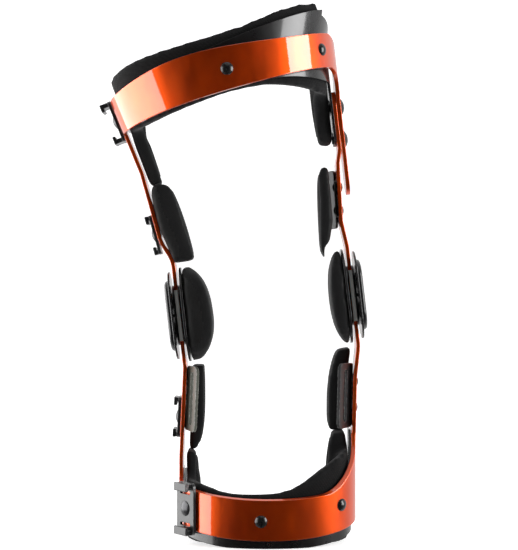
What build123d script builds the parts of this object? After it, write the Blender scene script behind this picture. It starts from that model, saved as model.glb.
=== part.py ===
"""Hinged knee brace: two padded half-cuffs joined by a two-pivot geared hinge on each side of the knee.

Millimetres. The brace stands upright on the lower rim of its shin cuff: +Z up, -Y to the front of
the leg, -X to the lateral (outer) side and +X to the medial (inner) side. The knee axis is tilted a
little in the frontal plane, so hinges, arms and the thigh cuff are drawn in a knee frame (X along the
knee axis, Y back, Z up the thigh, origin midway between the hinges) and tilted into place; the shin
cuff is drawn upright.
"""
from build123d import *
import os
from math import sqrt

os.makedirs("parts", exist_ok=True)

# Knee axis
KNEE_HEIGHT = 172.9
KNEE_OFFSET = 2.8
AXIS_TILT = 6.5
HALF_SPACING = 65.0

# Arms: flat bars that end in the gear sectors
ARM_WIDTH = 22.0
ARM_THICKNESS = 2.8
ARM_BEND_RADIUS = 26.0

# Geared hinge
PIVOT_OFFSET = 11.0
GEAR_TEETH = 22
TOOTH_ROOT_RADIUS = 9.9
TOOTH_TIP_RADIUS = 11.85
TOOTH_ROOT_WIDTH = 1.9
TOOTH_TIP_WIDTH = 0.55
TOOTH_CLEARANCE = 0.35
PIVOT_RADIUS = 4.0
RUNNING_GAP = 0.05
BUSH_WALL = 1.0
HINGE_PLATE_THICKNESS = 1.6
HINGE_PLATE_RADIUS = 11.5
PLATE_LEVEL = 1.7
PIVOT_HEAD_RADIUS = 6.0
PIVOT_HEAD_INSIDE = 1.25
PIVOT_HEAD_OUTSIDE = 0.5
STOP_THICKNESS = 2.6
STOP_DEPTH = 3.4
STOP_HALF_HEIGHT = 19.0
STOP_NOSE_DEPTH = 7.0
STOP_NOSE_HEIGHT = 11.0
STOP_PIN_RADIUS = 1.1
STOP_PIN_OFFSET = 9.0
COVER_LEVEL = 3.95
COVER_THICKNESS = 1.6
COVER_LENGTH = 66.0
COVER_WIDTH = 37.0
CAP_LENGTH = 53.0
CAP_WIDTH = 31.0
CAP_HEIGHT = 3.2
CAP_WALL = 1.2
COVER_SCREW_OFFSET = 5.0
COVER_SCREW_RADIUS = 1.2
COVER_SCREW_HEAD_RADIUS = 2.3
COVER_SCREW_HEAD_HEIGHT = 1.0
CONDYLE_SHELL_LEVEL = 3.4
CONDYLE_SHELL_THICKNESS = 1.6
CONDYLE_SHELL_RADIUS = 24.5
CONDYLE_PAD_RADIUS = 25.5
CONDYLE_PAD_GAP = 0.3
CONDYLE_PAD_CROWN = [(-1.0, 0.22), (-0.76, 0.70), (-0.36, 0.97), (0.14, 0.99), (0.72, 0.72), (1.0, 0.22)]
LATERAL_CONDYLE_PAD = 20.0
MEDIAL_CONDYLE_PAD = 11.5

# Cuff walls, from the outside in
FRAME_WALL = 3.0
SHELL_WALL = 1.8
SOFT_GAP = 0.4
CUFF_BACK = 11.0
CUFF_STRAIGHT = -12.0

# Thigh cuff, in the knee frame
THIGH_FRONT = -78.0
THIGH_RIGHT = 72.3
THIGH_LEFT = -90.4
THIGH_LEFT_HEIGHT = 137.1
THIGH_LEFT_SLOPE = 0.281
THIGH_FLARE_START = 186.0
THIGH_FLARE = 9.0
THIGH_WALL_BOTTOM = 70.0
THIGH_WALL_TOP = 222.0
THIGH_LINER = 11.0
LEG_TIP = 75.4
MEDIAL_SHELL_INSET = 6.2

# Shin cuff, upright
SHIN_FRONT = -54.0
SHIN_LEFT = -61.7
SHIN_RIGHT = 69.4
SHIN_LINER = 8.5
SHIN_BAND_TOP = 47.5
SHIN_BAND_BOTTOM = 19.5
SHIN_BAND_DROP = 14.0
SHIN_WALL_TOP = 90.0
SHIN_WEB = [(-46.0, 36.0), (-38.0, 41.0), (-32.6, 46.5), (-25.6, 54.5), (-18.0, 64.0), (-11.0, 78.0)]

# Fasteners and strap hardware
HEAD_GAP = 0.15
RIVET_RADIUS = 2.0
RIVET_HEAD_RADIUS = 4.5
RIVET_HEAD_HEIGHT = 2.0
WASHER = 0.8
THIGH_RIVET_DEPTH = 8.1
SHIN_RIVET_DEPTH = 5.3
SCREW_RADIUS = 3.0
SCREW_HEAD_RADIUS = 7.0
SCREW_HEAD_HEIGHT = 3.2
NUT_THICKNESS = 2.2
NUT_RADIUS = 5.6
LOOP_THICKNESS = 2.0
LOOP_SLOT_WIDTH = 6.0
LOOP_RIVET_X = -5.5
CLIP_BASE = 2.2
CLIP_GAP = 0.3
CLIP_WIDTH = 20.0
CLIP_RIVET_RADIUS = 3.0
HOOK_WALL = 3.2
HOOK_REACH = 6.0
HOOK_LIP = 2.4

LEG = Location((KNEE_OFFSET, 0, KNEE_HEIGHT), (0, -AXIS_TILT, 0))
MEDIAL_SIDE = Plane(origin=(HALF_SPACING, 0, 0), x_dir=(0, 1, 0), z_dir=(1, 0, 0))
UP = (Align.CENTER, Align.CENTER, Align.MIN)

# Centre lines of the arms in the knee frame's frontal plane
LATERAL_THIGH_LINE = [(-65.0, 11.0), (-65.0, 41.0), (-72.3, 56.0), (-80.6, 107.8), (-93.9, 155.0)]
MEDIAL_THIGH_LINE = [(65.0, 11.0), (65.0, 37.0), (62.7, 56.0), (65.2, 99.0), (67.7, 109.0), (67.7, 152.0)]
LATERAL_SHIN_LINE = [(-65.0, -11.0), (-65.0, -39.0), (-75.4, -105.0), (-79.4, -140.0)]
MEDIAL_SHIN_LINE = [(65.0, -11.0), (65.0, -38.0), (60.1, -60.0), (51.9, -119.6), (49.1, -144.0)]


def write(name, *solids):
    """Write one sub-part, as one STEP file of one or more solids."""
    shape = solids[0] if len(solids) == 1 else Compound(children=list(solids))
    export_step(shape, f"parts/{name}.step")


def single(shape):
    """The one solid of a boolean result."""
    return max(shape.solids(), key=lambda solid: solid.volume)


def prism(points, low_y, high_y):
    """A polygon in the frontal plane, from low_y back to high_y."""
    face = make_face(Polyline(*points, close=True))
    return Pos(0, high_y, 0) * extrude(Plane.XZ * face, high_y - low_y)


def side_prism(outline, low_x, high_x):
    """A face in (Y, Z) coordinates, carried from low_x to high_x."""
    return Pos(low_x, 0, 0) * extrude(Plane.YZ * outline, high_x - low_x)


def bar(line, width, thickness, bend_radius):
    """A flat bar bent along a centre line in the frontal plane, as wide as given along Y."""
    path = Plane.XZ * FilletPolyline(*line, radius=bend_radius)
    start = Plane(origin=path @ 0, x_dir=(0, 1, 0), z_dir=path % 0)
    return sweep(start * Rectangle(width, thickness), path=path)


def dome(radius, height):
    """A spherical cap that stands on Z = 0."""
    ball = (radius**2 + height**2) / (2 * height)
    return Pos(0, 0, height - ball) * Sphere(ball) & Cylinder(radius, height, align=UP)


def pill(length, width, thickness):
    """A plate with round ends, its length along Y, standing on Z = 0."""
    return extrude(Rot(0, 0, 90) * SlotOverall(length, width), thickness)


def outward(x, y, z, direction_x, direction_y, direction_z=0.0):
    """A plane whose Z axis points along the given direction and whose Y axis points as far up as it can."""
    normal = Vector(direction_x, direction_y, direction_z).normalized()
    across = Vector(0, 0, 1).cross(normal).normalized()
    return Plane(origin=(x, y, z), x_dir=across, z_dir=normal)


def both_sides(shape, lateral):
    """A hinge piece drawn on the medial side, placed there or mirrored to the lateral side."""
    placed = MEDIAL_SIDE * shape
    return LEG * (mirror(placed, about=Plane.YZ) if lateral else placed)


# ---------------------------------------------------------------- cuff walls
def ring_face(left, right, front, wall):
    """Half a ring seen from above: straight sides, an elliptical front and the given wall."""
    centre = (left + right) / 2
    across = (right - left) / 2
    depth = CUFF_STRAIGHT - front
    outer = EllipticalCenterArc((centre, CUFF_STRAIGHT), across, depth, 180, arc_size=180)
    inner = EllipticalCenterArc((centre, CUFF_STRAIGHT), across - wall, depth - wall, 180, arc_size=180)
    sides = [
        Line((left, CUFF_STRAIGHT), (left, CUFF_BACK)),
        Line((left, CUFF_BACK), (left + wall, CUFF_BACK)),
        Line((left + wall, CUFF_BACK), (left + wall, CUFF_STRAIGHT)),
        Line((right - wall, CUFF_STRAIGHT), (right - wall, CUFF_BACK)),
        Line((right - wall, CUFF_BACK), (right, CUFF_BACK)),
        Line((right, CUFF_BACK), (right, CUFF_STRAIGHT)),
    ]
    return make_face(Curve() + [outer, inner, *sides])


def thigh_left(height):
    """Outer face of the thigh cuff's lateral side at a height in the knee frame."""
    return THIGH_LEFT - THIGH_LEFT_SLOPE * (height - THIGH_LEFT_HEIGHT)


def thigh_wall(inset, medial_inset, wall, flare):
    """A layer of the thigh cuff: inset from the outer face, flared above the band on the medial side."""
    sections = []
    heights = ((THIGH_WALL_BOTTOM, 0.0), (THIGH_FLARE_START, 0.0), (THIGH_WALL_TOP, flare))
    for height, widening in heights:
        face = ring_face(thigh_left(height) + inset, THIGH_RIGHT - medial_inset + widening,
                         THIGH_FRONT + inset, wall)
        sections.append(Pos(0, 0, height) * face)
    return loft(sections, ruled=True)


def shin_wall(inset, wall, low, high):
    """A layer of the shin cuff: inset from the outer face, between two heights."""
    face = ring_face(SHIN_LEFT + inset, SHIN_RIGHT - inset, SHIN_FRONT + inset, wall)
    return extrude(Pos(0, 0, low) * face, high - low)


def front_outline(lower, upper, low_y=-100.0, high_y=40.0):
    """A trimming block with a smooth lower edge and a smooth upper edge in the frontal plane."""
    edges = [
        Spline(*lower),
        Line(lower[-1], upper[-1]),
        Spline(*upper),
        Line(upper[0], lower[0]),
    ]
    return Pos(0, high_y, 0) * extrude(Plane.XZ * make_face(Curve() + edges), high_y - low_y)


def medial_corner_cut(top, radius):
    """Trims a thigh cuff layer's medial back corner in one round from its top edge to its back edge."""
    back = CUFF_BACK + 2
    corner = make_face(Curve() + [
        RadiusArc((-36, top), (back, top - 42), radius),
        Line((back, top - 42), (back + 20, top - 42)),
        Line((back + 20, top - 42), (back + 20, top + 60)),
        Line((back + 20, top + 60), (-36, top + 60)),
        Line((-36, top + 60), (-36, top)),
    ])
    return side_prism(corner, 20, 110)


def medial_leg(tip, front, top):
    """Trimming block for the strip down the medial side: it blends into the cuff and ends round."""
    middle = (front + CUFF_BACK) / 2
    half = (CUFF_BACK - front) / 2
    outline = make_face(Curve() + [
        Line((front - 26, top), (front - 26, top - 20)),
        RadiusArc((front - 26, top - 20), (front, top - 46), 26),
        Line((front, top - 46), (front, tip + half)),
        ThreePointArc((front, tip + half), (middle, tip), (CUFF_BACK, tip + half)),
        Line((CUFF_BACK, tip + half), (CUFF_BACK, top)),
        Line((CUFF_BACK, top), (front - 26, top)),
    ])
    return side_prism(outline, 20, 110)


# ---------------------------------------------------------------- geared hinge
def gear_sector(upper):
    """The toothed end of an arm in the hinge plane (X back, Y up): it turns about its own pivot."""
    sign = 1 if upper else -1
    pitch_angle = 360 / GEAR_TEETH
    body = Cylinder(TOOTH_ROOT_RADIUS, ARM_THICKNESS)
    neck = Pos(0, sign * 3, 0) * Box(ARM_WIDTH, 6, ARM_THICKNESS)
    body += neck
    phase = 0.0 if upper else 0.5
    for index in range(-1, 6):
        angle = -90 + (index + phase) * pitch_angle
        tooth = make_face(Polyline(
            (TOOTH_ROOT_RADIUS - 1, -TOOTH_ROOT_WIDTH / 2),
            (TOOTH_ROOT_RADIUS, -TOOTH_ROOT_WIDTH / 2),
            (TOOTH_TIP_RADIUS, -TOOTH_TIP_WIDTH / 2),
            (TOOTH_TIP_RADIUS, TOOTH_TIP_WIDTH / 2),
            (TOOTH_ROOT_RADIUS, TOOTH_ROOT_WIDTH / 2),
            (TOOTH_ROOT_RADIUS - 1, TOOTH_ROOT_WIDTH / 2),
            close=True,
        ))
        solid = extrude(Rot(0, 0, sign * angle) * tooth, ARM_THICKNESS / 2, both=True)
        body += solid
    return Pos(0, sign * PIVOT_OFFSET, 0) * body


def pivot_bores(radius):
    """Two bores through the hinge, at the upper and the lower pivot."""
    bore = Cylinder(radius, 60)
    return Pos(0, PIVOT_OFFSET, 0) * bore + Pos(0, -PIVOT_OFFSET, 0) * bore


def arm_end(upper, lateral):
    """Gear sector with its bush bore, on the given side."""
    sign = 1 if upper else -1
    bore = Pos(0, sign * PIVOT_OFFSET, 0) * Cylinder(PIVOT_RADIUS + 2 * RUNNING_GAP + BUSH_WALL, 20)
    return both_sides(gear_sector(upper), lateral), both_sides(bore, lateral)


def hinge_bush(upper, lateral):
    """A plain bush in the arm, around its pivot."""
    sign = 1 if upper else -1
    length = 2 * PLATE_LEVEL - 0.2
    inner_radius = PIVOT_RADIUS + RUNNING_GAP
    bush = Cylinder(inner_radius + BUSH_WALL, length) - Cylinder(inner_radius, length)
    return both_sides(Pos(0, sign * PIVOT_OFFSET, 0) * bush, lateral)


def cover_screw_bores(radius):
    """Two small bores side by side between the pivots."""
    bore = Cylinder(radius, 40)
    return Pos(COVER_SCREW_OFFSET, 0, 0) * bore + Pos(-COVER_SCREW_OFFSET, 0, 0) * bore


def hinge_plate(level, lateral):
    """One of the two flat plates that hold both pivots and the stop pin."""
    plate = pill(2 * (PIVOT_OFFSET + HINGE_PLATE_RADIUS), 2 * HINGE_PLATE_RADIUS, HINGE_PLATE_THICKNESS)
    plate -= pivot_bores(PIVOT_RADIUS + 0.02)
    plate -= Pos(-STOP_PIN_OFFSET, 0, 0) * Cylinder(STOP_PIN_RADIUS + 0.02, 20)
    if level > 0:
        plate -= cover_screw_bores(COVER_SCREW_RADIUS + 0.02)
    return both_sides(Pos(0, 0, level) * plate, lateral)


def pivot_pins(lateral):
    """The two headed pivots, each a running fit in its arm's bush."""
    inner_face = -PLATE_LEVEL - HINGE_PLATE_THICKNESS
    outer_face = PLATE_LEVEL + HINGE_PLATE_THICKNESS
    shank = Pos(0, 0, inner_face) * Cylinder(PIVOT_RADIUS, outer_face - inner_face, align=UP)
    inner_head = Cylinder(PIVOT_HEAD_RADIUS, PIVOT_HEAD_INSIDE, align=UP)
    inner_head = Pos(0, 0, inner_face - PIVOT_HEAD_INSIDE) * inner_head
    outer_head = Pos(0, 0, outer_face) * Cylinder(PIVOT_HEAD_RADIUS, PIVOT_HEAD_OUTSIDE, align=UP)
    pin = shank + inner_head + outer_head
    return [both_sides(Pos(0, sign * PIVOT_OFFSET, 0) * pin, lateral) for sign in (1, -1)]


def extension_stop(lateral):
    """The block in front of the arms that ends extension, with a nose between the gear roots."""
    rail = Box(STOP_DEPTH, 2 * STOP_HALF_HEIGHT, STOP_THICKNESS)
    rail = Pos(-ARM_WIDTH / 2 - 0.1 - STOP_DEPTH / 2, 0, 0) * rail
    nose = Pos(-ARM_WIDTH / 2 + 1.5, 0, 0) * Box(STOP_NOSE_DEPTH, STOP_NOSE_HEIGHT, STOP_THICKNESS)
    block = single(rail + nose - pivot_bores(TOOTH_TIP_RADIUS + TOOTH_CLEARANCE))
    block -= Pos(-STOP_PIN_OFFSET, 0, 0) * Cylinder(STOP_PIN_RADIUS + 0.02, 20)
    return both_sides(block, lateral)


def stop_pin(lateral):
    """The pin that holds the extension stop between the hinge plates."""
    length = 2 * (PLATE_LEVEL + HINGE_PLATE_THICKNESS)
    return both_sides(Pos(-STOP_PIN_OFFSET, 0, 0) * Cylinder(STOP_PIN_RADIUS, length), lateral)


def hinge_cover(lateral):
    """The flat cover plate over the hinge."""
    plate = pill(COVER_LENGTH, COVER_WIDTH, COVER_THICKNESS)
    plate = fillet(plate.edges().group_by(Axis.Z)[-1], 0.6)
    plate -= cover_screw_bores(COVER_SCREW_RADIUS + 0.02)
    return both_sides(Pos(0, 0, COVER_LEVEL) * plate, lateral)


def hinge_cap(lateral):
    """The low domed cap on the cover plate, hollow underneath."""
    cap = pill(CAP_LENGTH, CAP_WIDTH, CAP_HEIGHT)
    cap = fillet(cap.edges().group_by(Axis.Z)[-1], 2.4)
    cap -= pill(CAP_LENGTH - 6, CAP_WIDTH - 6, CAP_HEIGHT - CAP_WALL)
    return both_sides(Pos(0, 0, COVER_LEVEL + COVER_THICKNESS + 0.02) * cap, lateral)


def cover_screws(lateral):
    """Two screws under the cap that hold the cover plate to the outer hinge plate."""
    seat = COVER_LEVEL + COVER_THICKNESS
    shank = Pos(0, 0, PLATE_LEVEL + 0.1) * Cylinder(COVER_SCREW_RADIUS, seat - PLATE_LEVEL - 0.1, align=UP)
    head = Pos(0, 0, seat) * Cylinder(COVER_SCREW_HEAD_RADIUS, COVER_SCREW_HEAD_HEIGHT, align=UP)
    screw = shank + head
    return [both_sides(Pos(sign * COVER_SCREW_OFFSET, 0, 0) * screw, lateral) for sign in (1, -1)]


def condyle_shell(lateral):
    """The thin stiff plate that carries the condyle pad, with holes over the pivot heads."""
    length = 2 * (PIVOT_OFFSET + CONDYLE_SHELL_RADIUS)
    shell = pill(length, 2 * CONDYLE_SHELL_RADIUS, CONDYLE_SHELL_THICKNESS)
    shell -= pivot_bores(PIVOT_HEAD_RADIUS + 1)
    return both_sides(Pos(0, 0, -CONDYLE_SHELL_LEVEL - CONDYLE_SHELL_THICKNESS) * shell, lateral)


def condyle_pad(thickness, lateral):
    """The soft pad beside the knee: thick at the middle, drawn in above and below."""
    length = 2 * (PIVOT_OFFSET + CONDYLE_PAD_RADIUS)
    pad = pill(length, 2 * CONDYLE_PAD_RADIUS, thickness)
    half = length / 2 + 1
    crown = [(half * place, thickness * (1 - share)) for place, share in CONDYLE_PAD_CROWN]
    above = [(half, thickness + 1), (-half, thickness + 1)]
    edges = [Spline(*crown), Line(crown[-1], above[0]), Line(*above), Line(above[1], crown[0])]
    pad &= side_prism(make_face(Curve() + edges), -CONDYLE_PAD_RADIUS - 1, CONDYLE_PAD_RADIUS + 1)
    top = -CONDYLE_SHELL_LEVEL - CONDYLE_SHELL_THICKNESS - CONDYLE_PAD_GAP
    return both_sides(Pos(0, 0, top - thickness) * single(pad), lateral)


# ---------------------------------------------------------------- fasteners and strap hardware
def rivet(plane, grip):
    """A domed rivet whose head stands on the plane, with its shank going in by the grip."""
    shank = Pos(0, 0, -grip) * Cylinder(RIVET_RADIUS, grip, align=UP)
    return plane * (dome(RIVET_HEAD_RADIUS, RIVET_HEAD_HEIGHT) + shank)


def rivet_washer(plane, depth):
    """The washer on a rivet's inner end, below the plane by the depth."""
    washer = Cylinder(RIVET_HEAD_RADIUS, WASHER, align=UP) - Cylinder(RIVET_RADIUS + 0.02, 5)
    return plane * (Pos(0, 0, -depth - WASHER) * washer)


def screw(plane, grip):
    """A broad domed screw whose head stands on the plane."""
    shank = Pos(0, 0, -grip) * Cylinder(SCREW_RADIUS, grip, align=UP)
    socket = Pos(0, 0, SCREW_HEAD_HEIGHT - 1.4) * extrude(RegularPolygon(2.2, 6), 3)
    return plane * (dome(SCREW_HEAD_RADIUS, SCREW_HEAD_HEIGHT) + shank - socket)


def hex_nut(plane, depth):
    """A thin nut on a screw, below the plane by the depth."""
    nut = extrude(RegularPolygon(NUT_RADIUS, 6), NUT_THICKNESS) - Cylinder(SCREW_RADIUS + 0.02, 20)
    return plane * (Pos(0, 0, -depth - NUT_THICKNESS) * nut)


def bore(plane, radius, depth=40.0):
    """A bore along a plane's normal."""
    return plane * Cylinder(radius, 2 * depth)


def strap_clip(plane, length, hook_height):
    """A flat strap clip on a plane: rounded plate, two slots, a hook at each end, a bore for its rivet."""
    plate = extrude(RectangleRounded(CLIP_WIDTH, length, 4), CLIP_BASE)
    slot = extrude(SlotOverall(CLIP_WIDTH - 8, 2.4), CLIP_BASE)
    for sign in (1, -1):
        end = sign * (length / 2 - 2)
        plate -= Pos(0, sign * (length / 2 - 7.5), 0) * slot
        wall = Box(CLIP_WIDTH - 6, HOOK_WALL, hook_height + 0.5, align=UP)
        lip = fillet(Box(CLIP_WIDTH - 6, HOOK_REACH, HOOK_LIP, align=UP).edges().filter_by(Axis.X), 0.8)
        wall = Pos(0, end, CLIP_BASE - 0.5) * wall
        lip = Pos(0, end - sign * 1.2, CLIP_BASE + hook_height - HOOK_LIP) * lip
        plate += wall + lip
    plate -= Cylinder(CLIP_RIVET_RADIUS + RUNNING_GAP, 30)
    return plane * (Pos(0, 0, CLIP_GAP) * single(plate))


def clip_rivet(plane, grip):
    """The broad-headed rivet that a strap clip swivels on."""
    shank = Pos(0, 0, -grip) * Cylinder(CLIP_RIVET_RADIUS, grip + CLIP_GAP + CLIP_BASE + 0.1, align=UP)
    head = Pos(0, 0, CLIP_GAP + CLIP_BASE + 0.1) * dome(5.5, 1.8)
    return plane * (shank + head)


def strap_loop(plane, length, reach, turn):
    """A strap loop on a plane: a foot with two rivet holes and a slotted flange turned off the plane.

    The plane's Z axis points away from the bar that the foot lies on, its Y axis up, and the flange
    leaves the foot's edge towards +X.
    """
    foot = Pos(-4.5, 0, 0) * extrude(RectangleRounded(12, length * 0.62, 3), LOOP_THICKNESS)
    blade = Pos(reach / 2, 0, 0) * extrude(RectangleRounded(reach + 3, length, 5), LOOP_THICKNESS)
    blade -= Pos(reach / 2 + 2, 0, 0) * extrude(
        Rot(0, 0, 90) * SlotOverall(length - 9, LOOP_SLOT_WIDTH), LOOP_THICKNESS)
    loop = (foot + Rot(0, -turn, 0) * blade) & Box(200, 200, 60, align=UP)
    for sign in (1, -1):
        loop -= Pos(LOOP_RIVET_X, sign * length * 0.2, 0) * Cylinder(RIVET_RADIUS + 0.02, 20)
    return plane * single(loop)


def loop_rivets(plane, length, grip, flush=False):
    """The two rivets in a strap loop's foot, domed or flush on the far side of the bar."""
    shank = Pos(0, 0, -grip) * Cylinder(RIVET_RADIUS, grip + LOOP_THICKNESS, align=UP)
    part = shank + Pos(0, 0, LOOP_THICKNESS) * dome(3.6, 1.2)
    if not flush:
        part += Pos(0, 0, -grip) * Rot(180, 0, 0) * dome(RIVET_HEAD_RADIUS, 1.8)
    return [plane * (Pos(LOOP_RIVET_X, sign * length * 0.2, 0) * part) for sign in (1, -1)]


def ellipse_plane(left, right, front, x, height):
    """The plane touching a cuff's outer face at an X position on its curved front."""
    across = (right - left) / 2
    depth = CUFF_STRAIGHT - front
    share = (x - (left + right) / 2) / across
    y = CUFF_STRAIGHT - depth * sqrt(1 - share**2)
    touching = outward(x, y, height, share / across, (y - CUFF_STRAIGHT) / depth**2)
    return touching.offset(HEAD_GAP)


def bar_plane(low, high, share, side, offset=ARM_THICKNESS / 2, forward=1, shift=0.0):
    """The plane on one face of a bar's straight stretch, Z away from the bar (side +1 is +X).

    X points forward, or back where forward is -1, and the origin is shifted along it.
    """
    run = Vector(high[0] - low[0], 0, high[1] - low[1])
    middle = Vector(low[0], 0, low[1]) + run * share
    normal = Vector(side * run.Z, 0, -side * run.X).normalized()
    x_dir = Vector(0, -forward, 0)
    return Plane(origin=middle + normal * offset + x_dir * shift, x_dir=x_dir, z_dir=normal)


# ---------------------------------------------------------------- fastener and strap hardware places
THIGH_LEFT_EDGE = [(thigh_left(137.0), 137.0), (thigh_left(162.0), 162.0)]
UPPER_CLIP = bar_plane(*THIGH_LEFT_EDGE, 0.5, -1, 0.0)
LOWER_CLIP = bar_plane(LATERAL_THIGH_LINE[2], LATERAL_THIGH_LINE[3], 0.12, -1)
CALF_CLIP = bar_plane(LATERAL_SHIN_LINE[2], LATERAL_SHIN_LINE[1], 0.44, -1)
SHIN_CLIP = ellipse_plane(SHIN_LEFT, SHIN_RIGHT, SHIN_FRONT, -54.0, 26.0)
SCREW_HEIGHTS = (141.7, 117.4)
SCREW_PLANES = [outward(THIGH_RIGHT, 0, height, 1, 0) for height in SCREW_HEIGHTS]
THIGH_RIVETS = [
    ellipse_plane(thigh_left(168.0), THIGH_RIGHT, THIGH_FRONT, -8.4, 168.0),
    ellipse_plane(thigh_left(179.0), THIGH_RIGHT, THIGH_FRONT, 61.0, 179.0),
]
SHIN_RIVETS = [
    ellipse_plane(SHIN_LEFT, SHIN_RIGHT, SHIN_FRONT, -0.9, 20.0),
    ellipse_plane(SHIN_LEFT, SHIN_RIGHT, SHIN_FRONT, 57.8, 29.0),
]
MEDIAL_THIGH_LOOP = bar_plane(
    MEDIAL_THIGH_LINE[2], MEDIAL_THIGH_LINE[3], 0.4, -1, forward=-1, shift=6.0)
LATERAL_CALF_LOOP = bar_plane(LATERAL_SHIN_LINE[2], LATERAL_SHIN_LINE[1], 0.66, 1, shift=4.0)
MEDIAL_CALF_LOOP = bar_plane(MEDIAL_SHIN_LINE[3], MEDIAL_SHIN_LINE[2], 0.765, -1, shift=4.0)
CALF_LOOP_LENGTH = 48.0
THIGH_LOOP_LENGTH = 44.0
LOOP_REACH = 20.0
BIG_CLIP = (32.0, 6.5)
SMALL_CLIP = (30.0, 3.4)
BAND_CLIP = (38.0, 5.0)


def loop_bores(plane, length):
    """The bores for a strap loop's two rivets."""
    hole = Cylinder(RIVET_RADIUS + 0.02, 16)
    upper = Pos(LOOP_RIVET_X, length * 0.2, 0) * hole
    lower = Pos(LOOP_RIVET_X, -length * 0.2, 0) * hole
    return plane * upper + plane * lower


# ---------------------------------------------------------------- thigh
def thigh_frame():
    """The band round the front of the thigh, with the lateral arm and the medial leg in one piece."""
    wall = thigh_wall(0.0, 0.0, FRAME_WALL, 0.0)
    band = front_outline(
        [(-112, 132), (-90.4, 137.1), (-55.1, 145.0), (8.0, 156.5), (59.5, 165.9), (100, 172)],
        [(-112, 158), (-94, 163.3), (-58.7, 175.5), (-2.4, 184.1),
         (38.1, 187.5), (63.2, 191.2), (100, 196)],
    )
    frame = wall & band
    frame += wall & medial_leg(LEG_TIP, -ARM_WIDTH / 2, 187)
    frame -= medial_corner_cut(192.0, 62)
    frame = single(frame)
    for plane in SCREW_PLANES:
        frame -= bore(plane, SCREW_RADIUS + 0.02, 12)
    for plane in THIGH_RIVETS:
        frame -= bore(plane, RIVET_RADIUS + 0.02, 12)
    arm = bar(LATERAL_THIGH_LINE, ARM_WIDTH, ARM_THICKNESS, ARM_BEND_RADIUS)
    arm -= bore(LOWER_CLIP, CLIP_RIVET_RADIUS + 0.02, 8)
    frame += arm
    frame -= bore(UPPER_CLIP, CLIP_RIVET_RADIUS + 0.02, 12)
    sector, bush_bore = arm_end(True, True)
    return single(LEG * frame + sector - bush_bore)


def medial_thigh_arm():
    """The separate medial arm, screwed to the inside of the frame's leg."""
    arm = bar(MEDIAL_THIGH_LINE, ARM_WIDTH, ARM_THICKNESS, 12)
    for plane in SCREW_PLANES:
        arm -= bore(plane, SCREW_RADIUS + 0.02, 12)
    arm -= loop_bores(MEDIAL_THIGH_LOOP, THIGH_LOOP_LENGTH)
    sector, bush_bore = arm_end(True, False)
    return single(LEG * arm + sector - bush_bore)


def thigh_shell():
    """The stiff plastic shell between the frame and the liner, taller and flared on the medial side."""
    wall = thigh_wall(3.6, MEDIAL_SHELL_INSET, SHELL_WALL, THIGH_FLARE)
    outline = front_outline(
        [(-112, 136), (-55.0, 148.0), (8.0, 157.5), (40.0, 160.0), (62.0, 158.0), (100, 156)],
        [(-112, 158), (-58.0, 174.0), (-20.0, 184.0), (6.6, 192.4),
         (34.8, 201.0), (60.0, 208.0), (100, 212)],
    )
    shell = wall & outline
    shell += wall & medial_leg(112.0, -17.0, 187)
    shell -= medial_corner_cut(205.0, 70)
    shell = single(shell)
    for plane in SCREW_PLANES:
        shell -= bore(plane, NUT_RADIUS + 0.9, 16)
    for plane in THIGH_RIVETS:
        shell -= bore(plane, RIVET_RADIUS + 0.05, 16)
    shell -= bore(UPPER_CLIP, CLIP_RIVET_RADIUS + 1, 16)
    return LEG * single(shell)


def thigh_liner():
    """The soft liner inside the thigh shell, with a tongue down each side."""
    wall = thigh_wall(5.8, MEDIAL_SHELL_INSET + SHELL_WALL + SOFT_GAP + 0.3, THIGH_LINER, THIGH_FLARE)
    outline = front_outline(
        [(-112, 133), (-75.5, 138.0), (-20.0, 149.5), (12.0, 154.2),
         (34.0, 153.6), (60.0, 148.0), (100, 145)],
        [(-112, 170), (-92.6, 180.0), (-58.1, 188.1), (-0.9, 198.1),
         (38.9, 211.0), (60.0, 215.5), (100, 219)],
    )
    liner = wall & outline
    liner += wall & medial_leg(112.0, -15.0, 187)
    liner -= medial_corner_cut(212.0, 78)
    liner = single(liner)
    liner += prism([(-84.7, 133.5), (-77.2, 104.5), (-75.0, 97.0), (-65.5, 96.5),
                    (-67.0, 101.6), (-71.7, 120.3), (-76.0, 139.0), (-84.0, 139.0)], -12, CUFF_BACK)
    for plane in THIGH_RIVETS:
        liner -= bore(plane, RIVET_HEAD_RADIUS + 0.6, 9)
    for plane in SCREW_PLANES:
        liner -= bore(plane, SCREW_RADIUS + 0.8, 14)
    liner -= bore(UPPER_CLIP, CLIP_RIVET_RADIUS + 1, 9)
    return LEG * single(liner)


def lateral_thigh_pad():
    """The soft pad above the lateral hinge."""
    pad = prism([(-73.0, 95.3), (-64.7, 95.3), (-60.5, 91.8), (-57.5, 85.4), (-53.9, 70.6),
                 (-51.0, 55.9), (-48.5, 42.0), (-50.0, 38.8), (-63.0, 38.8), (-66.4, 50.0),
                 (-71.4, 66.0), (-75.2, 90.0)], -14, 14)
    return LEG * pad


def medial_thigh_pad():
    """The soft pad above the medial hinge; its thin lower end lies inside the condyle pad."""
    pad = prism([(47.8, 28.8), (44.5, 36.5), (47.0, 62.0), (48.3, 76.0), (49.2, 92.0), (52.0, 98.0),
                 (56.0, 98.0), (57.4, 94.0), (56.4, 57.0), (52.0, 41.0), (47.8, 39.8)], -17, 9)
    return LEG * pad


# ---------------------------------------------------------------- shin
def shin_band_block(top, bottom, drop):
    """Trimming block whose flat top and bottom both drop towards the front."""
    slab = Box(300, 300, top - bottom, align=UP)
    return Pos(0, 0, bottom) * Rot(drop, 0, 0) * slab


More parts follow.
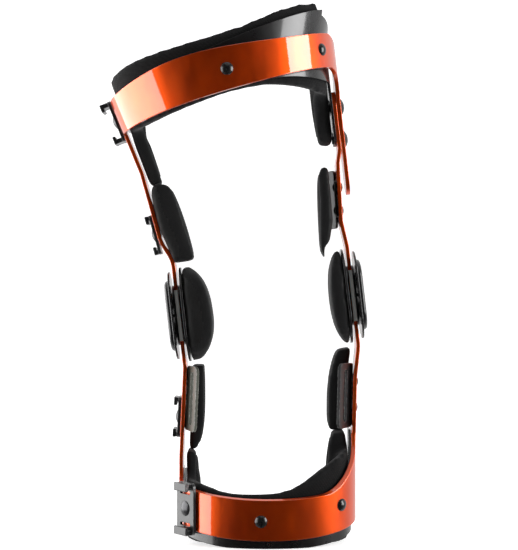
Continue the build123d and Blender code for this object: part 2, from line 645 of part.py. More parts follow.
def shin_frame():
    """The band round the front of the shin, with both uprights in one piece."""
    wall = shin_wall(0.0, FRAME_WALL, 0.0, SHIN_WALL_TOP)
    frame = wall & shin_band_block(SHIN_BAND_TOP, SHIN_BAND_BOTTOM, SHIN_BAND_DROP)
    edges = [Spline(*SHIN_WEB), Line(SHIN_WEB[-1], (CUFF_BACK, SHIN_WEB[-1][1])),
             Line((CUFF_BACK, SHIN_WEB[-1][1]), (CUFF_BACK, 34)), Line((CUFF_BACK, 34), (SHIN_WEB[0][0], 34)),
             Line((SHIN_WEB[0][0], 34), SHIN_WEB[0])]
    frame += wall & side_prism(make_face(Curve() + edges), 30, 90)
    frame = single(frame)
    for plane in SHIN_RIVETS:
        frame -= bore(plane, RIVET_RADIUS + 0.02, 12)
    frame -= bore(SHIN_CLIP, CLIP_RIVET_RADIUS + 0.02, 12)
    uprights = []
    for line, lateral in ((LATERAL_SHIN_LINE, True), (MEDIAL_SHIN_LINE, False)):
        upright = bar(line, ARM_WIDTH, ARM_THICKNESS, ARM_BEND_RADIUS)
        upright -= loop_bores(LATERAL_CALF_LOOP if lateral else MEDIAL_CALF_LOOP, CALF_LOOP_LENGTH)
        if lateral:
            upright -= bore(CALF_CLIP, CLIP_RIVET_RADIUS + 0.02, 8)
        sector, bush_bore = arm_end(False, lateral)
        uprights.append(LEG * upright + sector - bush_bore)
    return single(frame + uprights[0] + uprights[1])


def shin_shell():
    """The stiff plastic shell inside the shin band, with a tongue up the medial side."""
    wall = shin_wall(FRAME_WALL + 0.2, SHELL_WALL, 0.0, SHIN_WALL_TOP)
    shell = wall & shin_band_block(SHIN_BAND_TOP - 2, SHIN_BAND_BOTTOM - 8, SHIN_BAND_DROP)
    corners = [(-32, 30), (-26, 42), (-4, 80), (CUFF_BACK, 80), (CUFF_BACK, 30)]
    shell += wall & side_prism(make_face(Polyline(*corners, close=True)), 40, 90)
    shell = single(shell)
    for plane in SHIN_RIVETS:
        shell -= bore(plane, RIVET_RADIUS + 0.05, 12)
    shell -= bore(SHIN_CLIP, CLIP_RIVET_RADIUS + 1, 12)
    return single(shell)


def shin_liner():
    """The soft liner inside the shin shell; its lower rim is what the brace stands on."""
    wall = shin_wall(FRAME_WALL + SHELL_WALL + 0.2 + SOFT_GAP, SHIN_LINER, 0.0, SHIN_WALL_TOP)
    outline = front_outline(
        [(-90, 0), (-30, 0), (30, 0), (90, 0)],
        [(-90, 52), (-50, 45.5), (-30, 40.8), (0, 39.8), (22, 44), (36, 51.6), (50, 60), (90, 84)],
    )
    liner = single(wall & outline)
    lateral_tongue = prism([(-71.6, -99.4), (-63.9, -99.4), (-65.5, -110.0), (-66.5, -128.0),
                            (-73.6, -128.0)], -10, CUFF_BACK + 10)
    medial_tongue = prism([(36.4, -98.8), (34.4, -109.0), (33.3, -118.0), (30.0, -132.0),
                           (44.0, -134.0), (47.6, -116.0), (48.6, -98.8)], -10, CUFF_BACK + 10)
    liner += LEG * lateral_tongue
    liner += LEG * medial_tongue
    for plane in SHIN_RIVETS:
        liner -= bore(plane, RIVET_HEAD_RADIUS + 0.6, 9)
    liner -= bore(SHIN_CLIP, CLIP_RIVET_RADIUS + 1, 9)
    return single(liner)


def lateral_calf_pad():
    """The soft pad below the lateral hinge, behind its strap loop."""
    pad = prism([(-61.2, -38.8), (-50.9, -38.8), (-54.5, -73.9), (-56.3, -83.5), (-58.6, -90.8),
                 (-63.5, -98.6), (-69.4, -98.6), (-65.0, -76.0), (-61.9, -52.0)], 2.5, 27)
    return LEG * pad


def medial_calf_pad():
    """The soft pad below the medial hinge, behind its strap loop."""
    pad = prism([(60.0, -38.8), (50.5, -38.8), (47.0, -43.1), (42.4, -54.6), (38.4, -71.6),
                 (35.9, -91.7), (36.4, -98.2), (49.0, -98.2), (51.2, -86.0), (54.2, -62.0)], 2.5, 27)
    return LEG * pad


# ---------------------------------------------------------------- write the sub-parts
def main():
    write("thigh_frame", thigh_frame())
    write("medial_thigh_arm", medial_thigh_arm())
    write("thigh_arm_screws", *[LEG * screw(plane, 9.0) for plane in SCREW_PLANES])
    write("thigh_arm_nuts", *[LEG * hex_nut(plane, 6.1) for plane in SCREW_PLANES])
    write("thigh_shell", thigh_shell())
    write("thigh_liner", thigh_liner())
    write("thigh_rivets",
          *[LEG * rivet(plane, THIGH_RIVET_DEPTH + WASHER) for plane in THIGH_RIVETS])
    write("thigh_rivet_washers",
          *[LEG * rivet_washer(plane, THIGH_RIVET_DEPTH) for plane in THIGH_RIVETS])
    write("lateral_thigh_pad", lateral_thigh_pad())
    write("medial_thigh_pad", medial_thigh_pad())
    write("medial_thigh_loop", LEG * strap_loop(MEDIAL_THIGH_LOOP, THIGH_LOOP_LENGTH, 18, 16))
    write("medial_thigh_loop_rivets",
          *[LEG * part for part in loop_rivets(MEDIAL_THIGH_LOOP, THIGH_LOOP_LENGTH, ARM_THICKNESS)])
    write("thigh_clip_rivets",
          LEG * clip_rivet(UPPER_CLIP, FRAME_WALL), LEG * clip_rivet(LOWER_CLIP, ARM_THICKNESS))
    write("thigh_hinge_bushes", hinge_bush(True, True), hinge_bush(True, False))
    write("upper_thigh_clip", LEG * strap_clip(UPPER_CLIP, *BIG_CLIP))
    write("lower_thigh_clip", LEG * strap_clip(LOWER_CLIP, *SMALL_CLIP))

    for side, pad in (("lateral", LATERAL_CONDYLE_PAD), ("medial", MEDIAL_CONDYLE_PAD)):
        lateral = side == "lateral"
        write(f"{side}_outer_hinge_plate", hinge_plate(PLATE_LEVEL, lateral))
        write(f"{side}_inner_hinge_plate", hinge_plate(-PLATE_LEVEL - HINGE_PLATE_THICKNESS, lateral))
        write(f"{side}_hinge_pivots", *pivot_pins(lateral))
        write(f"{side}_extension_stop", extension_stop(lateral))
        write(f"{side}_stop_pin", stop_pin(lateral))
        write(f"{side}_hinge_cover", hinge_cover(lateral))
        write(f"{side}_hinge_cap", hinge_cap(lateral))
        write(f"{side}_cover_screws", *cover_screws(lateral))
        write(f"{side}_condyle_shell", condyle_shell(lateral))
        write(f"{side}_condyle_pad", condyle_pad(pad, lateral))

    write("shin_frame", shin_frame())
    write("shin_shell", shin_shell())
    write("shin_liner", shin_liner())
    write("shin_rivets", *[rivet(plane, SHIN_RIVET_DEPTH + WASHER) for plane in SHIN_RIVETS])
    write("shin_rivet_washers", *[rivet_washer(plane, SHIN_RIVET_DEPTH) for plane in SHIN_RIVETS])
    write("lateral_calf_pad", lateral_calf_pad())
    write("medial_calf_pad", medial_calf_pad())
    write("lateral_calf_loop", LEG * strap_loop(LATERAL_CALF_LOOP, CALF_LOOP_LENGTH, LOOP_REACH, 22))
    write("medial_calf_loop", LEG * strap_loop(MEDIAL_CALF_LOOP, CALF_LOOP_LENGTH, LOOP_REACH + 2, 27))
    calf_rivets = loop_rivets(LATERAL_CALF_LOOP, CALF_LOOP_LENGTH, ARM_THICKNESS, flush=True)
    calf_rivets += loop_rivets(MEDIAL_CALF_LOOP, CALF_LOOP_LENGTH, ARM_THICKNESS)
    write("calf_loop_rivets", *[LEG * part for part in calf_rivets])
    write("shin_clip_rivets", LEG * clip_rivet(CALF_CLIP, ARM_THICKNESS), clip_rivet(SHIN_CLIP, FRAME_WALL))
    write("shin_hinge_bushes", hinge_bush(False, True), hinge_bush(False, False))
    write("calf_clip", LEG * strap_clip(CALF_CLIP, *SMALL_CLIP))
    write("shin_band_clip", strap_clip(SHIN_CLIP, *BAND_CLIP))


main()
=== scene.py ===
"""Looks of a hinged knee brace, in metres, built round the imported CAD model.

+Z is up, -Y is the front of the leg, -X its lateral side. The brace stands on the lower rim of its
shin liner at Z = 0. Hard parts keep their CAD shapes and get finishes; the foam liners and pads are
made here as swollen, sewn pieces that stand for their CAD solids.
"""
from math import cos, pi, radians, sin

import bpy
import numpy as np
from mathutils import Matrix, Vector


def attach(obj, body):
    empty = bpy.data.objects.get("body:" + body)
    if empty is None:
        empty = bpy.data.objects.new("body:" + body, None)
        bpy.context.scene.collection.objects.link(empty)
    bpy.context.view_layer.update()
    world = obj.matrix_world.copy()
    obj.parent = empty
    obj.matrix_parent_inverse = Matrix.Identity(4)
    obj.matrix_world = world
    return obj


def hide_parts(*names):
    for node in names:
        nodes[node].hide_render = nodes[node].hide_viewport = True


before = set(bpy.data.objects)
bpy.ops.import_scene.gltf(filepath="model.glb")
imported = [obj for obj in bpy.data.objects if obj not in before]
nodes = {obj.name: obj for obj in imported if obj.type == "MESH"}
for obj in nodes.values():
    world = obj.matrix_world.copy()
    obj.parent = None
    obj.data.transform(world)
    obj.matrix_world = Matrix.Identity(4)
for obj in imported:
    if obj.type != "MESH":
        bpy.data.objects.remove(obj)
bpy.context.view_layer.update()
scene = bpy.context.scene

LEG_AXIS = np.array([-0.006, 0.010])    # x, y of the leg's centre line

# foam
WELD_DISTANCE = 0.00001
SMOOTH_FACTOR = 0.5
BLANK_SMOOTHING = 6                     # passes before a blank swells
SKIN_SMOOTHING = 7                      # passes after it has swollen
FOAM_END_RUN = 0.020                    # length of foam over which a drawn-out end builds up
FOAM_PRESSURE = 4.0
FOAM_MASS = 0.3
CLOTH_QUALITY = 5
SWELL_FRAMES = 20
BACKED_SHARE = 0.3                      # a face that leans outwards more than this lies on a shell or bar
RIM_SHARE = 0.35                        # a face that leans in or out less than this belongs to the rim
CHANNEL_DEPTH = 0.0009                  # of the sewn channel
CHANNEL_SPREAD = 0.0011
BINDING_SHARE = 0.75                    # width of the binding against the channel's distance from the rim

# studio
PAPER_FRONT, PAPER_BACK, PAPER_SIDE, PAPER_TOP = -3.0, 1.9, 3.2, 3.4
PAPER_CURVE = 0.7                       # radius of the upturn at the back
PAPER_DROP = 0.0002                     # keeps the paper just under the brace
PAPER_GLOW = 0.62
SOFTBOX_DISTANCE = 1.25
SOFTBOX_AIM = 0.2                       # height on the brace that a softbox faces
CAMERA_PLACE = (-0.0023, -1.0, 0.1956)
CAMERA_LENS = 87.04
SENSOR_WIDTH = 36.0
CAMERA_REACH = 20.0
STUDIO_LEVELS = [
    # angle from the front in degrees, positive towards +X, and brightness there
    (-180, 0.85), (-120, 0.85), (-100, 0.5), (-70, 0.22), (-50, 0.05), (-20, 0.008), (20, 0.008),
    (50, 0.05), (90, 0.30), (120, 0.70), (180, 0.85),
]


# ---------------------------------------------------------------- node helpers
class Recipe:
    """A material's node tree with short calls for the nodes that the finishes share."""

    def __init__(self, name):
        self.material = bpy.data.materials.new(name)
        self.material.use_nodes = True
        self.tree = self.material.node_tree
        self.shader = self.tree.nodes["Principled BSDF"]
        self.place = self.tree.nodes.new("ShaderNodeTexCoord").outputs["Object"]

    def node(self, kind, **settings):
        """A new node with its settings."""
        made = self.tree.nodes.new(kind)
        for key, value in settings.items():
            setattr(made, key, value)
        return made

    def link(self, source, target):
        self.tree.links.new(source, target)

    def value(self, socket, number):
        """A constant on one of the shader's sockets."""
        self.shader.inputs[socket].default_value = number

    def noise(self, scale, detail=4.0, roughness=0.55, stretch=None):
        """Noise on object coordinates, stretched by three factors where given."""
        made = self.node("ShaderNodeTexNoise")
        made.inputs["Scale"].default_value = scale
        made.inputs["Detail"].default_value = detail
        made.inputs["Roughness"].default_value = roughness
        place = self.place
        if stretch:
            mapping = self.node("ShaderNodeMapping")
            mapping.inputs["Scale"].default_value = stretch
            self.link(place, mapping.inputs["Vector"])
            place = mapping.outputs["Vector"]
        self.link(place, made.inputs["Vector"])
        return made.outputs["Fac"]

    def cells(self, scale):
        """Distance to the nearest cell centre, for foamed surfaces."""
        made = self.node("ShaderNodeTexVoronoi", feature="F1")
        made.inputs["Scale"].default_value = scale
        self.link(self.place, made.inputs["Vector"])
        return made.outputs["Distance"]

    def bands(self, period, direction):
        """Sine bands that repeat at a period in metres."""
        made = self.node("ShaderNodeTexWave", bands_direction=direction, wave_profile="SIN")
        made.inputs["Scale"].default_value = pi / (10 * period)
        made.inputs["Distortion"].default_value = 0.6
        made.inputs["Detail"].default_value = 1.0
        self.link(self.place, made.inputs["Vector"])
        return made.outputs["Fac"]

    def maths(self, operation, first, second):
        """One sum of two values, each a socket or a number."""
        made = self.node("ShaderNodeMath", operation=operation)
        for index, item in enumerate((first, second)):
            if isinstance(item, (int, float)):
                made.inputs[index].default_value = item
            else:
                self.link(item, made.inputs[index])
        return made.outputs["Value"]

    def spread(self, source, low, high, start=0.3, stop=0.7):
        """A value from start..stop carried to low..high."""
        made = self.node("ShaderNodeMapRange")
        limits = {"From Min": start, "From Max": stop, "To Min": low, "To Max": high}
        for socket, number in limits.items():
            made.inputs[socket].default_value = number
        self.link(source, made.inputs["Value"])
        return made.outputs["Result"]

    def tones(self, source, dark, light, start=0.3, stop=0.7):
        """A colour from dark to light as the value goes from start to stop."""
        ramp = self.node("ShaderNodeValToRGB")
        ends = ramp.color_ramp.elements
        for end, position, colour in ((ends[0], start, dark), (ends[1], stop, light)):
            end.position = position
            end.color = (*colour, 1.0)
        self.link(source, ramp.inputs["Fac"])
        return ramp.outputs["Color"]

    def blend(self, share, first, second):
        """Mixes two colours by a share."""
        made = self.node("ShaderNodeMix", data_type="RGBA")
        self.link(share, made.inputs["Factor"])
        self.link(first, made.inputs[6])
        self.link(second, made.inputs[7])
        return made.outputs[2]

    def bump(self, height, distance, strength=1.0, normal=None):
        """Relief from a height, on top of another normal where given."""
        made = self.node("ShaderNodeBump")
        made.inputs["Strength"].default_value = strength
        made.inputs["Distance"].default_value = distance
        self.link(height, made.inputs["Height"])
        if normal:
            self.link(normal, made.inputs["Normal"])
        return made.outputs["Normal"]

    def rounded(self, radius):
        """Normals rounded over at sharp edges."""
        made = self.node("ShaderNodeBevel", samples=6)
        made.inputs["Radius"].default_value = radius
        return made.outputs["Normal"]

    def edges(self, radius):
        """1 along sharp edges, 0 on flats: how far the rounded normal leans from the true one."""
        geometry = self.node("ShaderNodeNewGeometry")
        dot = self.node("ShaderNodeVectorMath", operation="DOT_PRODUCT")
        self.link(self.rounded(radius), dot.inputs[0])
        self.link(geometry.outputs["Normal"], dot.inputs[1])
        return self.spread(dot.outputs["Value"], 1.0, 0.0, 0.80, 0.985)


def hard_finish(name, dark, light, roughness, grain, relief, metallic=0.0, coat=0.0,
                coat_roughness=0.05, coat_ior=1.5, edge_radius=0.0006, worn=None):
    """A moulded, painted or metal finish: cloudy tone, fine relief, rounded and rubbed edges."""
    r = Recipe(name)
    cloud = r.noise(38.0, 5.0)
    fine = r.noise(grain, 3.0, 0.6)
    colour = r.tones(cloud, dark, light)
    if worn:
        patches = r.spread(r.noise(420.0, 4.0), 0.0, 1.0, 0.42, 0.62)
        rubbed = r.maths("MULTIPLY", r.edges(edge_radius * 1.4), patches)
        colour = r.blend(rubbed, colour, r.tones(fine, worn, worn))
    r.link(colour, r.shader.inputs["Base Color"])
    smear = r.noise(95.0, 4.0, 0.6, (1.0, 1.0, 0.35))
    r.link(r.spread(smear, roughness * 0.82, roughness * 1.22), r.shader.inputs["Roughness"])
    r.link(r.bump(fine, relief, 0.6, r.rounded(edge_radius)), r.shader.inputs["Normal"])
    r.value("Metallic", metallic)
    r.value("Coat Weight", coat)
    r.value("Coat Roughness", coat_roughness)
    r.value("Coat IOR", coat_ior)
    r.value("Specular IOR Level", 0.5)
    if coat:
        r.link(r.rounded(edge_radius), r.shader.inputs["Coat Normal"])
    return r.material


def knit_finish(name, dark, light, pitch, depth, sheen):
    """Knitted cover on foam: ribs of loops, fuzz in the tone, painted shade in the grooves and a painted
    highlight on the crests, and a soft sheen.
    """
    r = Recipe(name)
    courses = r.bands(pitch, "Z")
    wales = r.bands(pitch * 1.15, "DIAGONAL")
    loops = r.maths("MULTIPLY", courses, wales)
    fuzz = r.noise(1500.0, 3.0)
    height = r.maths("ADD", loops, r.maths("MULTIPLY", fuzz, 0.5))
    cloth = r.tones(r.noise(55.0, 5.0), dark, light)
    # thread colour follows the relief height: painted shade in the grooves between loops, painted
    # highlight on the crests
    shade = tuple(0.55 * c for c in dark)
    painted_crest_highlight = tuple(1.25 * c for c in light)
    threads_painted_shade_and_highlight = r.tones(height, shade, painted_crest_highlight, 0.1, 1.1)
    share = r.spread(r.noise(23.0, 2.0), 0.35, 0.65)
    r.link(r.blend(share, cloth, threads_painted_shade_and_highlight), r.shader.inputs["Base Color"])
    r.link(r.spread(fuzz, 0.82, 0.97), r.shader.inputs["Roughness"])
    r.link(r.bump(height, depth, 0.8), r.shader.inputs["Normal"])
    r.value("Sheen Weight", sheen)
    r.value("Sheen Roughness", 0.45)
    r.value("Specular IOR Level", 0.25)
    return r.material


def foam_finish(name, dark, light, pore, depth):
    """Closed-cell foam with a pebbled skin, with painted shade in its pits."""
    r = Recipe(name)
    pores = r.cells(1.0 / pore)
    cloud = r.noise(60.0, 5.0)
    height = r.maths("ADD", pores, r.maths("MULTIPLY", r.noise(900.0, 2.0), 0.4))
    # colour follows the pores: painted shade in the pits at the cell centres, lighter tones on the ridges
    # between them
    share = r.spread(pores, 0.2, 0.8, 0.2, 0.7)
    skin_with_painted_pit_shade = r.blend(share, r.tones(cloud, dark, dark), r.tones(cloud, dark, light))
    r.link(skin_with_painted_pit_shade, r.shader.inputs["Base Color"])
    r.link(r.spread(cloud, 0.6, 0.78), r.shader.inputs["Roughness"])
    r.link(r.bump(height, depth, 0.7), r.shader.inputs["Normal"])
    r.value("Sheen Weight", 0.04)
    r.value("Specular IOR Level", 0.35)
    return r.material


# ---------------------------------------------------------------- finishes
frame_orange = hard_finish(
    "frame_orange", (0.90, 0.078, 0.002), (0.97, 0.10, 0.003), 0.38, 900.0, 0.00003, metallic=0.92,
    coat=1.0, coat_roughness=0.03, coat_ior=1.85, edge_radius=0.0009, worn=(1.0, 0.16, 0.02))
shell_black = hard_finish(
    "shell_black", (0.0045, 0.0042, 0.0045), (0.008, 0.0075, 0.008), 0.30, 2600.0, 0.00004,
    coat=0.9, coat_roughness=0.09, edge_radius=0.0005, worn=(0.03, 0.028, 0.028))
cover_black = hard_finish(
    "cover_black", (0.005, 0.005, 0.0055), (0.009, 0.009, 0.010), 0.22, 1800.0, 0.00004,
    coat=0.6, coat_roughness=0.08, edge_radius=0.0007, worn=(0.10, 0.10, 0.10))
hinge_steel = hard_finish(
    "hinge_steel", (0.030, 0.030, 0.032), (0.060, 0.060, 0.063), 0.30, 1400.0, 0.00003,
    metallic=0.9, edge_radius=0.0004, worn=(0.30, 0.30, 0.31))
nylon_grey = hard_finish(
    "nylon_grey", (0.16, 0.16, 0.15), (0.24, 0.24, 0.23), 0.45, 1600.0, 0.00005,
    edge_radius=0.0004)
fastener_dark = hard_finish(
    "fastener_dark", (0.05, 0.05, 0.052), (0.11, 0.11, 0.115), 0.28, 1500.0, 0.00003,
    metallic=0.9, edge_radius=0.0004, worn=(0.42, 0.42, 0.42))
rivet_black = hard_finish(
    "rivet_black", (0.004, 0.004, 0.004), (0.009, 0.009, 0.009), 0.26, 1500.0, 0.00003,
    coat=0.5, coat_roughness=0.1, edge_radius=0.0004, worn=(0.12, 0.11, 0.10))
loop_grey = hard_finish(
    "loop_grey", (0.070, 0.074, 0.058), (0.105, 0.110, 0.090), 0.34, 1300.0, 0.00004,
    coat=0.2, coat_roughness=0.2, edge_radius=0.0006, worn=(0.55, 0.55, 0.53))
loop_black = hard_finish(
    "loop_black", (0.004, 0.004, 0.0044), (0.009, 0.009, 0.0094), 0.38, 1300.0, 0.00004,
    coat=0.15, coat_roughness=0.2, edge_radius=0.0006, worn=(0.25, 0.25, 0.25))
clip_dark = hard_finish(
    "clip_dark", (0.006, 0.006, 0.0065), (0.014, 0.014, 0.015), 0.30, 1500.0, 0.00004,
    coat=0.4, coat_roughness=0.12, edge_radius=0.0006, worn=(0.20, 0.20, 0.20))
liner_knit = knit_finish(
    "liner_knit", (0.0026, 0.0026, 0.0028), (0.0065, 0.0065, 0.0068), 0.0013, 0.00018, 0.06)
edge_binding = knit_finish(
    "edge_binding", (0.0035, 0.0035, 0.0037), (0.008, 0.008, 0.0085), 0.0007, 0.00010, 0.08)
pad_foam = foam_finish(
    "pad_foam", (0.0035, 0.0034, 0.0034), (0.008, 0.0078, 0.0078), 0.0011, 0.00016)

FINISHES = {
    "frame_orange": frame_orange, "shell_black": shell_black, "cover_black": cover_black,
    "hinge_steel": hinge_steel, "nylon_grey": nylon_grey, "fastener_dark": fastener_dark,
    "rivet_black": rivet_black, "loop_grey": loop_grey, "loop_black": loop_black,
    "clip_dark": clip_dark, "foam_black": pad_foam,
}


def dress_cad_nodes():
    """Gives every CAD node the finish of the slot that its own material names."""
    for node in nodes.values():
        slot = node.data.materials[0].name.split(".")[0]
        node.data.materials.clear()
        node.data.materials.append(FINISHES[slot])


# ---------------------------------------------------------------- soft pieces
def foam(node, body, voxel, draw_in, free_swell, backed_swell, seam, fill, finish):
    """One row of SOFT_PIECES.

    voxel is the blank's mesh size, draw_in how far it starts inside the CAD solid, free_swell how far
    a free face may stand past the solid and backed_swell how far a face that lies on a shell or bar
    does, and seam the sewn channel's distance from the rim.
    """
    return {"node": node, "body": body, "voxel": voxel, "draw_in": draw_in, "free_swell": free_swell,
            "backed_swell": backed_swell, "seam": seam, "fill": fill, "finish": finish}


SOFT_PIECES = {
    "thigh_liner_foam": foam(
        "thigh_liner", "thigh", 0.0026, 0.0007, 0.0022, 0.0, 0.0060, 0.6, liner_knit),
    "shin_liner_foam": foam(
        "shin_liner", "shin", 0.0026, 0.0007, 0.0018, 0.0, 0.0055, 0.6, liner_knit),
    "lateral_condyle_cushion": foam(
        "lateral_condyle_pad", "lateral_hinge", 0.0026, 0.0010, 0.0028, 0.0, 0.0070, 0.8, pad_foam),
    "medial_condyle_cushion": foam(
        "medial_condyle_pad", "medial_hinge", 0.0024, 0.0008, 0.0024, 0.0, 0.0070, 0.8, pad_foam),
    "lateral_thigh_cushion": foam(
        "lateral_thigh_pad", "thigh", 0.0022, 0.0006, 0.0016, 0.0010, 0.0045, 0.7, pad_foam),
    "medial_thigh_cushion": foam(
        "medial_thigh_pad", "thigh", 0.0018, 0.0005, 0.0010, 0.0003, 0.0040, 0.7, pad_foam),
    "lateral_calf_cushion": foam(
        "lateral_calf_pad", "shin", 0.0022, 0.0006, 0.0016, 0.0006, 0.0045, 0.7, pad_foam),
    "medial_calf_cushion": foam(
        "medial_calf_pad", "shin", 0.0022, 0.0006, 0.0016, 0.0006, 0.0045, 0.7, pad_foam),
}
# foam drawn out past its CAD end, so that it presses on the liner next to it: piece, level, reach
FOAM_ENDS = {
    "lateral_thigh_cushion": (0.236, 0.0040),
    "lateral_calf_cushion": (0.096, -0.0045),
    "medial_calf_cushion": (0.096, -0.0045),
}


def read_points(mesh):
    """The mesh's points as rows of x, y, z."""
    points = np.zeros(len(mesh.vertices) * 3)
    mesh.vertices.foreach_get("co", points)
    return points.reshape(-1, 3)


def read_normals(mesh):
    """The mesh's point normals as rows of x, y, z."""
    normals = np.zeros(len(mesh.vertices) * 3, np.float32)
    mesh.vertex_normals.foreach_get("vector", normals)
    return normals.reshape(-1, 3).astype(float)


def write_points(mesh, points):
    mesh.vertices.foreach_set("co", points.ravel())
    mesh.update()


def settle_modifiers(piece):
    """Makes the piece's modified mesh its own mesh."""
    evaluated = piece.evaluated_get(bpy.context.evaluated_depsgraph_get())
    made = bpy.data.meshes.new_from_object(evaluated)
    piece.modifiers.clear()
    piece.data = made


def smooth_over(piece, passes):
    """Adds the modifier that evens out a piece's surface."""
    smooth = piece.modifiers.new("smooth", "SMOOTH")
    smooth.factor = SMOOTH_FACTOR
    smooth.iterations = passes


def soft_blank(name, node, voxel, draw_in):
    """A closed, evenly meshed copy of a CAD solid, rounded over and drawn in a little.

    A piece in FOAM_ENDS is also stretched along Z past a level, by its reach times the square of the
    distance past that level as a share of FOAM_END_RUN.
    """
    piece = bpy.data.objects.new(name, nodes[node].data.copy())
    scene.collection.objects.link(piece)
    piece.data.materials.clear()
    weld = piece.modifiers.new("weld", "WELD")
    weld.merge_threshold = WELD_DISTANCE
    remesh = piece.modifiers.new("remesh", "REMESH")
    remesh.mode = "VOXEL"
    remesh.voxel_size = voxel
    remesh.use_smooth_shade = True
    smooth_over(piece, BLANK_SMOOTHING)
    settle_modifiers(piece)
    points = read_points(piece.data)
    points -= draw_in * read_normals(piece.data)
    if name in FOAM_ENDS:
        level, reach = FOAM_ENDS[name]
        past = np.clip((points[:, 2] - level) * np.sign(reach) / FOAM_END_RUN, 0.0, 1.0)
        points[:, 2] += reach * past**2
    write_points(piece.data, points)
    return piece


def outward_share(points, normals):
    """How far each normal points away from the leg's centre line, from -1 to 1."""
    away = points[:, :2] - LEG_AXIS
    away /= np.linalg.norm(away, axis=1, keepdims=True)
    return (normals[:, :2] * away).sum(axis=1)


def swell(pieces):
    """Cloth under pressure: every blank swells at once, by no more than its own cap on free sides.

    The side that lies against a shell or bar comes back to the CAD surface, or as far past it as given.
    """
    starts = {}
    for piece in pieces:
        starts[piece.name] = (read_points(piece.data), read_normals(piece.data))
        cloth = piece.modifiers.new("foam", "CLOTH")
        cloth.settings.use_pressure = True
        cloth.settings.uniform_pressure_force = FOAM_PRESSURE
        cloth.settings.quality = CLOTH_QUALITY
        cloth.settings.mass = FOAM_MASS
        cloth.settings.effector_weights.gravity = 0.0
    for number in range(1, SWELL_FRAMES + 1):
        scene.frame_set(number)
    for piece in pieces:
        start, normals = starts[piece.name]
        draw_in, free_swell, backed_swell = (
            SOFT_PIECES[piece.name][key] for key in ("draw_in", "free_swell", "backed_swell"))
        settle_modifiers(piece)
        moved = read_points(piece.data) - start
        backed = outward_share(start, normals) > BACKED_SHARE
        moved[backed] = (draw_in + backed_swell) * normals[backed]
        cap = np.where(backed, draw_in + backed_swell, draw_in + free_swell)
        length = np.linalg.norm(moved, axis=1)
        moved *= np.minimum(1.0, cap / np.maximum(length, 1e-9))[:, None]
        final = start + moved
        final[:, 2] = np.maximum(final[:, 2], 0.0)
        write_points(piece.data, final)
    scene.frame_set(1)


def nearest(points, targets, chunk=1500):
    """Distance from each point to the nearest target."""
    found = np.empty(len(points))
    for first in range(0, len(points), chunk):
        part = points[first:first + chunk]
        gaps = ((part[:, None, :] - targets[None, :, :]) ** 2).sum(axis=2)
        found[first:first + chunk] = np.sqrt(gaps.min(axis=1))
    return found


def sew(piece, seam, finish):
    """Presses a sewn channel into the inner face at a constant distance from the rim, and binds the rim.

    Channel depth is a bell curve of the distance to the rim less the seam's distance.
    """
    smooth_over(piece, SKIN_SMOOTHING)
    subdivide = piece.modifiers.new("finer", "SUBSURF")
    subdivide.levels = subdivide.render_levels = 1
    settle_modifiers(piece)
    mesh = piece.data
    points, normals = read_points(mesh), read_normals(mesh)
    share = outward_share(points, normals)
    rim = points[np.abs(share) < RIM_SHARE]
    distance = nearest(points, rim[::2])
    channel = np.exp(-((distance - seam) / CHANNEL_SPREAD) ** 2)
    channel[share > 0.0] = 0.0
    write_points(mesh, points - CHANNEL_DEPTH * channel[:, None] * normals)
    mesh.materials.append(finish)
    mesh.materials.append(edge_binding)
    corners = np.zeros(len(mesh.loops), np.int32)
    mesh.loops.foreach_get("vertex_index", corners)
    first_corners = np.zeros(len(mesh.polygons), np.int32)
    mesh.polygons.foreach_get("loop_start", first_corners)
    bound = (distance < seam * BINDING_SHARE)[corners]
    face_bound = np.minimum.reduceat(bound.astype(np.int32), first_corners)
    mesh.polygons.foreach_set("material_index", face_bound)
    mesh.polygons.foreach_set("use_smooth", np.ones(len(mesh.polygons), bool))
    mesh.update()


def soft_goods():
    """The two liners and the six pads."""
    blanks = [soft_blank(name, row["node"], row["voxel"], row["draw_in"])
              for name, row in SOFT_PIECES.items()]
    swell(blanks)
    for piece in blanks:
        row = SOFT_PIECES[piece.name]
        node, body, fill = row["node"], row["body"], row["fill"]
        sew(piece, row["seam"], row["finish"])
        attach(piece, body)
        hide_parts(node)


# ---------------------------------------------------------------- studio
def studio_floor():
    """A pale sheet that runs flat, then turns up behind in a quarter circle: a profile carried along X."""
    flat = np.stack([np.linspace(PAPER_FRONT, PAPER_BACK, 40), np.zeros(40)], axis=1)
    turn = np.linspace(0.0, pi / 2, 24)
    cove = np.stack([PAPER_BACK + PAPER_CURVE * np.sin(turn),
                     PAPER_CURVE - PAPER_CURVE * np.cos(turn)], axis=1)
    wall = np.stack([np.full(12, PAPER_BACK + PAPER_CURVE),
                     np.linspace(PAPER_CURVE + 0.05, PAPER_TOP, 12)], axis=1)
    profile = np.concatenate([flat, cove[1:], wall])
    across = np.linspace(-PAPER_SIDE, PAPER_SIDE, 30)
    count = len(profile)
    points = np.zeros((len(across), count, 3))
    points[:, :, 0] = across[:, None]
    points[:, :, 1] = profile[None, :, 0]
    points[:, :, 2] = profile[None, :, 1] - PAPER_DROP
    index = np.arange(len(across) * count).reshape(len(across), count)
    corners = [index[:-1, :-1], index[1:, :-1], index[1:, 1:], index[:-1, 1:]]
    faces = np.stack(corners, axis=-1).reshape(-1, 4)
    mesh = bpy.data.meshes.new("studio_floor")
    mesh.from_pydata(points.reshape(-1, 3).tolist(), [], faces.tolist())
    mesh.polygons.foreach_set("use_smooth", np.ones(len(mesh.polygons), bool))
    floor = bpy.data.objects.new("studio_floor", mesh)
    floor.visible_glossy = False
    scene.collection.objects.link(floor)
    r = Recipe("studio_paper")
    pale = r.tones(r.noise(3.0, 2.0), (0.90, 0.90, 0.90), (0.93, 0.93, 0.93))
    r.link(pale, r.shader.inputs["Base Color"])
    r.value("Roughness", 0.9)
    r.value("Specular IOR Level", 0.1)
    r.value("Emission Color", (1.0, 1.0, 1.0, 1.0))
    r.value("Emission Strength", PAPER_GLOW)
    mesh.materials.append(r.material)


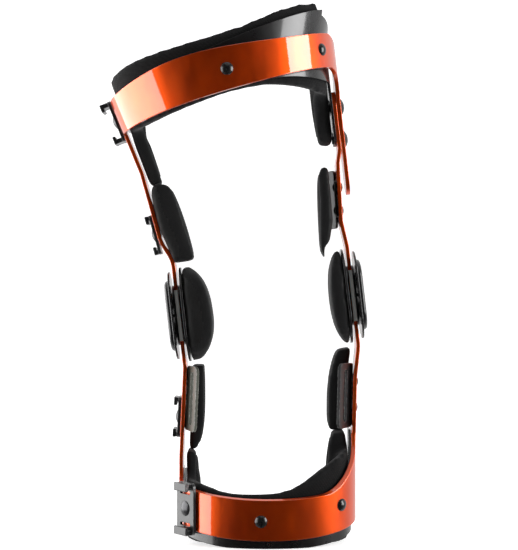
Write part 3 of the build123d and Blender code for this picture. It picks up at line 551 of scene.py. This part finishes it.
def softbox(name, azimuth, height, width, tall, power, distance=SOFTBOX_DISTANCE, aim_height=SOFTBOX_AIM):
    """A rectangular softbox at an angle from the front (positive towards +X), aimed at the brace."""
    lamp = bpy.data.lights.new(name, "AREA")
    lamp.shape = "RECTANGLE"
    lamp.size = width
    lamp.size_y = tall
    lamp.energy = power
    box = bpy.data.objects.new(name, lamp)
    turn = radians(azimuth)
    place = np.array([distance * sin(turn), -distance * cos(turn), height])
    box.location = place
    aim = np.array([0.0, 0.0, aim_height]) - place
    box.rotation_euler = Vector(aim).to_track_quat("-Z", "Y").to_euler()
    box.visible_camera = False
    scene.collection.objects.link(box)


def studio_world():
    """Studio walls as brightness by compass angle; the camera itself sees plain white past the paper.

    The compass angle is the arctangent of X over -Y, carried from -pi..pi to 0..1 along a ramp.
    """
    world = bpy.data.worlds.new("studio")
    scene.world = world
    world.use_nodes = True
    tree = world.node_tree
    link = tree.links.new
    place = tree.nodes.new("ShaderNodeTexCoord")
    split = tree.nodes.new("ShaderNodeSeparateXYZ")
    link(place.outputs["Generated"], split.inputs["Vector"])
    front = tree.nodes.new("ShaderNodeMath")
    front.operation = "MULTIPLY"
    front.inputs[1].default_value = -1.0
    link(split.outputs["Y"], front.inputs[0])
    angle = tree.nodes.new("ShaderNodeMath")
    angle.operation = "ARCTAN2"
    link(split.outputs["X"], angle.inputs[0])
    link(front.outputs["Value"], angle.inputs[1])
    lift = tree.nodes.new("ShaderNodeMapRange")
    lift.inputs["From Min"].default_value = -pi
    lift.inputs["From Max"].default_value = pi
    link(angle.outputs["Value"], lift.inputs["Value"])
    ramp = tree.nodes.new("ShaderNodeValToRGB")
    stops = ramp.color_ramp.elements
    for degrees, level in STUDIO_LEVELS[1:-1]:
        stops.new((degrees + 180) / 360).color = (level, level, level, 1.0)
    for stop, (_, level) in ((stops[0], STUDIO_LEVELS[0]), (stops[-1], STUDIO_LEVELS[-1])):
        stop.color = (level, level, level, 1.0)
    link(lift.outputs["Result"], ramp.inputs["Fac"])
    seen = tree.nodes.new("ShaderNodeLightPath")
    mix = tree.nodes.new("ShaderNodeMix")
    mix.data_type = "RGBA"
    link(seen.outputs["Is Camera Ray"], mix.inputs["Factor"])
    link(ramp.outputs["Color"], mix.inputs[6])
    mix.inputs[7].default_value = (1.0, 1.0, 1.0, 1.0)
    link(mix.outputs[2], tree.nodes["Background"].inputs["Color"])


def studio_camera():
    """The camera stands a metre in front, level with the middle of the brace, and looks straight back."""
    lens = bpy.data.cameras.new("camera")
    lens.sensor_width = SENSOR_WIDTH
    lens.lens = CAMERA_LENS
    lens.clip_end = CAMERA_REACH
    camera = bpy.data.objects.new("camera", lens)
    camera.location = CAMERA_PLACE
    camera.rotation_euler = (pi / 2, 0.0, 0.0)
    scene.collection.objects.link(camera)
    scene.camera = camera


def studio():
    """Paper, walls, camera and three softboxes."""
    studio_floor()
    studio_world()
    studio_camera()
    softbox("right_box", 70.0, 0.42, 0.62, 1.00, 13.5)
    softbox("left_box", -92.0, 0.25, 1.90, 1.30, 26.0)
    softbox("top_box", 20.0, 1.6, 1.2, 1.2, 2.5, 0.5)


dress_cad_nodes()
soft_goods()
studio()
scene.view_settings.view_transform = "Standard"
